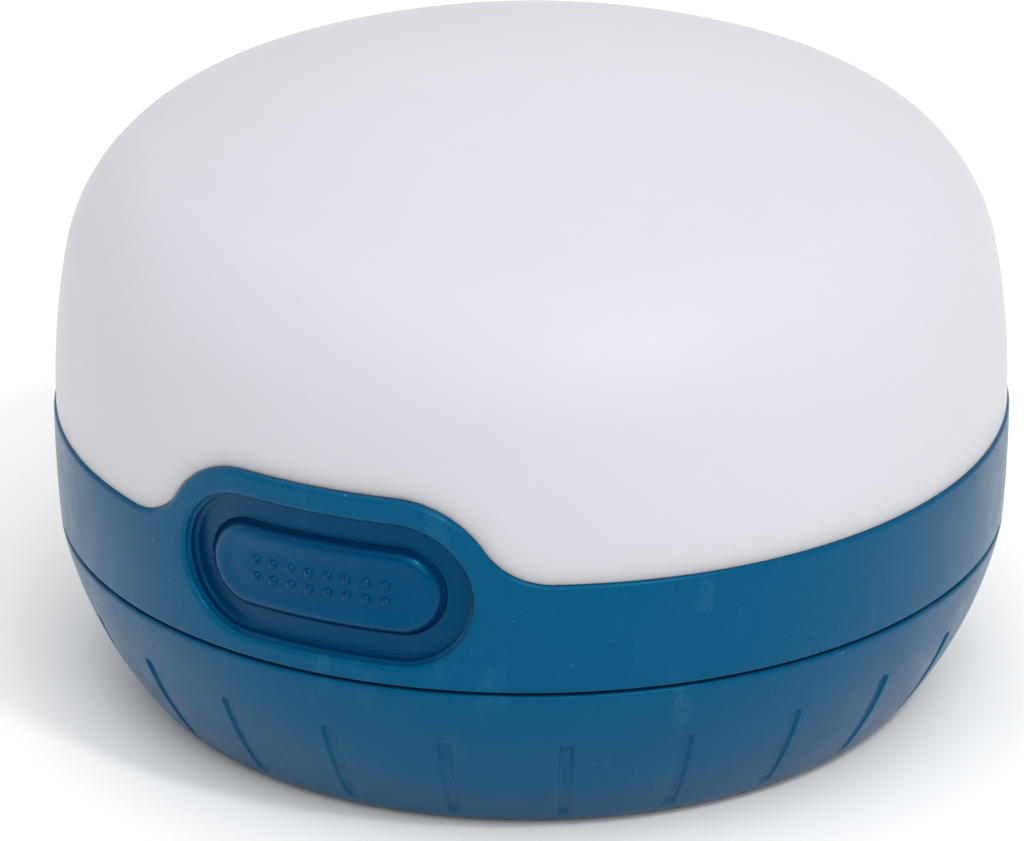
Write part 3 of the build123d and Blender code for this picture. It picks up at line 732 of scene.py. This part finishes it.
def hook_clip(shape, x, side):
    """Snap-in clip for a hook's axle: a block with a round seat and a narrower mouth below."""
    half, half_width, low, soft = 2.3, 1.3, 0.6, 0.8
    axle, seat, mouth = 1.9, 1.25, 0.9
    top = POCKET_Z + 0.1
    gape = degrees(asin(mouth / seat))
    outline = chain(
        arc((0, axle), seat, -90 + gape, 270 - gape, 22),
        [(-mouth, axle - sqrt(seat**2 - mouth**2)), (-mouth, low)],
        [(-mouth, low), (-half + soft, low)],
        arc((-half + soft, low + soft), soft, -90, -180, 5),
        [(-half, low + soft), (-half, top), (half, top), (half, low + soft)],
        arc((half - soft, low + soft), soft, 0, -90, 5),
        [(half - soft, low), (mouth, low)])
    ends = [[(x + off, side * CLIP_Y + y, z) for y, z in outline] for off in (-half_width, half_width)]
    shape.skin(ends, closed=True)
    for end in ends:
        start = len(shape.points)
        shape.points.extend(end)
        shape.faces.append(tuple(range(start, start + len(end))))


def replace_visible(materials):
    """The five outer pieces, rebuilt with their rounded edges."""
    body_ring(materials["blue_plastic"])
    button_moat(materials["blue_rubber"])
    button_key(materials["blue_rubber"])
    globe(materials["frosted_plastic"])
    base_shell(materials["blue_plastic"])


# ---- the studio ---------------------------------------------------------------------------
VIEW_AZIMUTH, VIEW_ELEVATION, VIEW_ROLL = 26.0, 23.31, -0.2447
VIEW_DISTANCE = 668.9 * MM
LENS = 310.2
AIM_HEIGHT, AIM_RIGHT, AIM_UP = 15.615 * MM, -1.487 * MM, 3.830 * MM
FLOOR_DARKER, FLOOR_LIGHTER = (0.94, 0.935, 0.925, 1), (0.96, 0.955, 0.945, 1)
WORLD_STRENGTH = 0.58
LIGHTS = (      # name, azimuth from the camera's, elevation, distance, size, power
    ("top", 0, 85, 0.9, 1.0, 3.3),
    ("key", 36, 51, 0.8, 0.08, 1.3),
    ("front", 15, 35, 0.9, 0.6, 2.9),
    ("left", -90, 15, 0.9, 0.7, 0.95),
    ("right", 90, 15, 0.9, 0.7, 0.5),
    ("back", 180, 40, 0.9, 0.8, 0.9))


def make_camera():
    """Long lens from above and to the button's right."""
    azimuth, elevation = radians(VIEW_AZIMUTH), radians(VIEW_ELEVATION)
    back = Vector((sin(azimuth) * cos(elevation), -cos(azimuth) * cos(elevation), sin(elevation)))
    right = Vector((cos(azimuth), sin(azimuth), 0))
    up = back.cross(right)
    aim = Vector((0, 0, AIM_HEIGHT)) + AIM_RIGHT * right + AIM_UP * up
    turn = Matrix((right, up, back)).transposed() @ Matrix.Rotation(radians(VIEW_ROLL), 3, "Z")
    camera = bpy.data.objects.new("camera", bpy.data.cameras.new("camera"))
    camera.data.sensor_width = 36.0
    camera.data.lens = LENS
    camera.data.clip_start = 10 * MM
    camera.matrix_world = Matrix.Translation(aim + back * VIEW_DISTANCE) @ turn.to_4x4()
    bpy.context.collection.objects.link(camera)
    bpy.context.scene.camera = camera


def make_floor():
    """Large white sweep."""
    half = 4.0
    mesh = bpy.data.meshes.new("floor")
    mesh.from_pydata([(-half, -half, 0), (half, -half, 0), (half, half, 0), (-half, half, 0)], [],
                     [(0, 1, 2, 3)])
    floor = bpy.data.objects.new("floor", mesh)
    bpy.context.collection.objects.link(floor)
    material = shader("floor", Specular_IOR_Level=0.0)
    tree = material.node_tree
    tint = blend_colours(tree, noise(tree, 8), FLOOR_DARKER, FLOOR_LIGHTER)
    tree.links.new(tint, tree.nodes["Principled BSDF"].inputs["Base Color"])
    mesh.materials.append(material)


def make_light(name, azimuth, elevation, distance, size, power):
    """Square soft light that faces the object. Azimuth 0 is the camera's side."""
    a, e = radians(VIEW_AZIMUTH + azimuth), radians(elevation)
    spot = Vector((sin(a) * cos(e), -cos(a) * cos(e), sin(e))) * distance
    lamp = bpy.data.objects.new(name, bpy.data.lights.new(name, "AREA"))
    lamp.data.shape = "SQUARE"
    lamp.data.size = size
    lamp.data.energy = power
    lamp.location = spot
    lamp.rotation_euler = spot.to_track_quat("Z", "Y").to_euler()
    bpy.context.collection.objects.link(lamp)


def make_studio():
    """White surroundings, a broad light from above, a small key light and soft fills all round."""
    world = bpy.data.worlds.new("studio")
    bpy.context.scene.world = world
    world.use_nodes = True
    background = world.node_tree.nodes["Background"]
    background.inputs["Color"].default_value = (1, 1, 1, 1)
    background.inputs["Strength"].default_value = WORLD_STRENGTH
    for light in LIGHTS:
        make_light(*light)
    bpy.context.scene.view_settings.view_transform = "Standard"


def finish_cad_nodes(materials):
    """Every CAD node that stays gets its slot's detailed material."""
    slots = {part["node"]: part["material_slot"] for part in frame["record"]["subparts"]}
    for name, node in frame["nodes"].items():
        for holder in node.material_slots:
            holder.material = materials[slots[name]]


make_camera()
make_floor()
make_studio()
materials = make_materials()
finish_cad_nodes(materials)
replace_visible(materials)
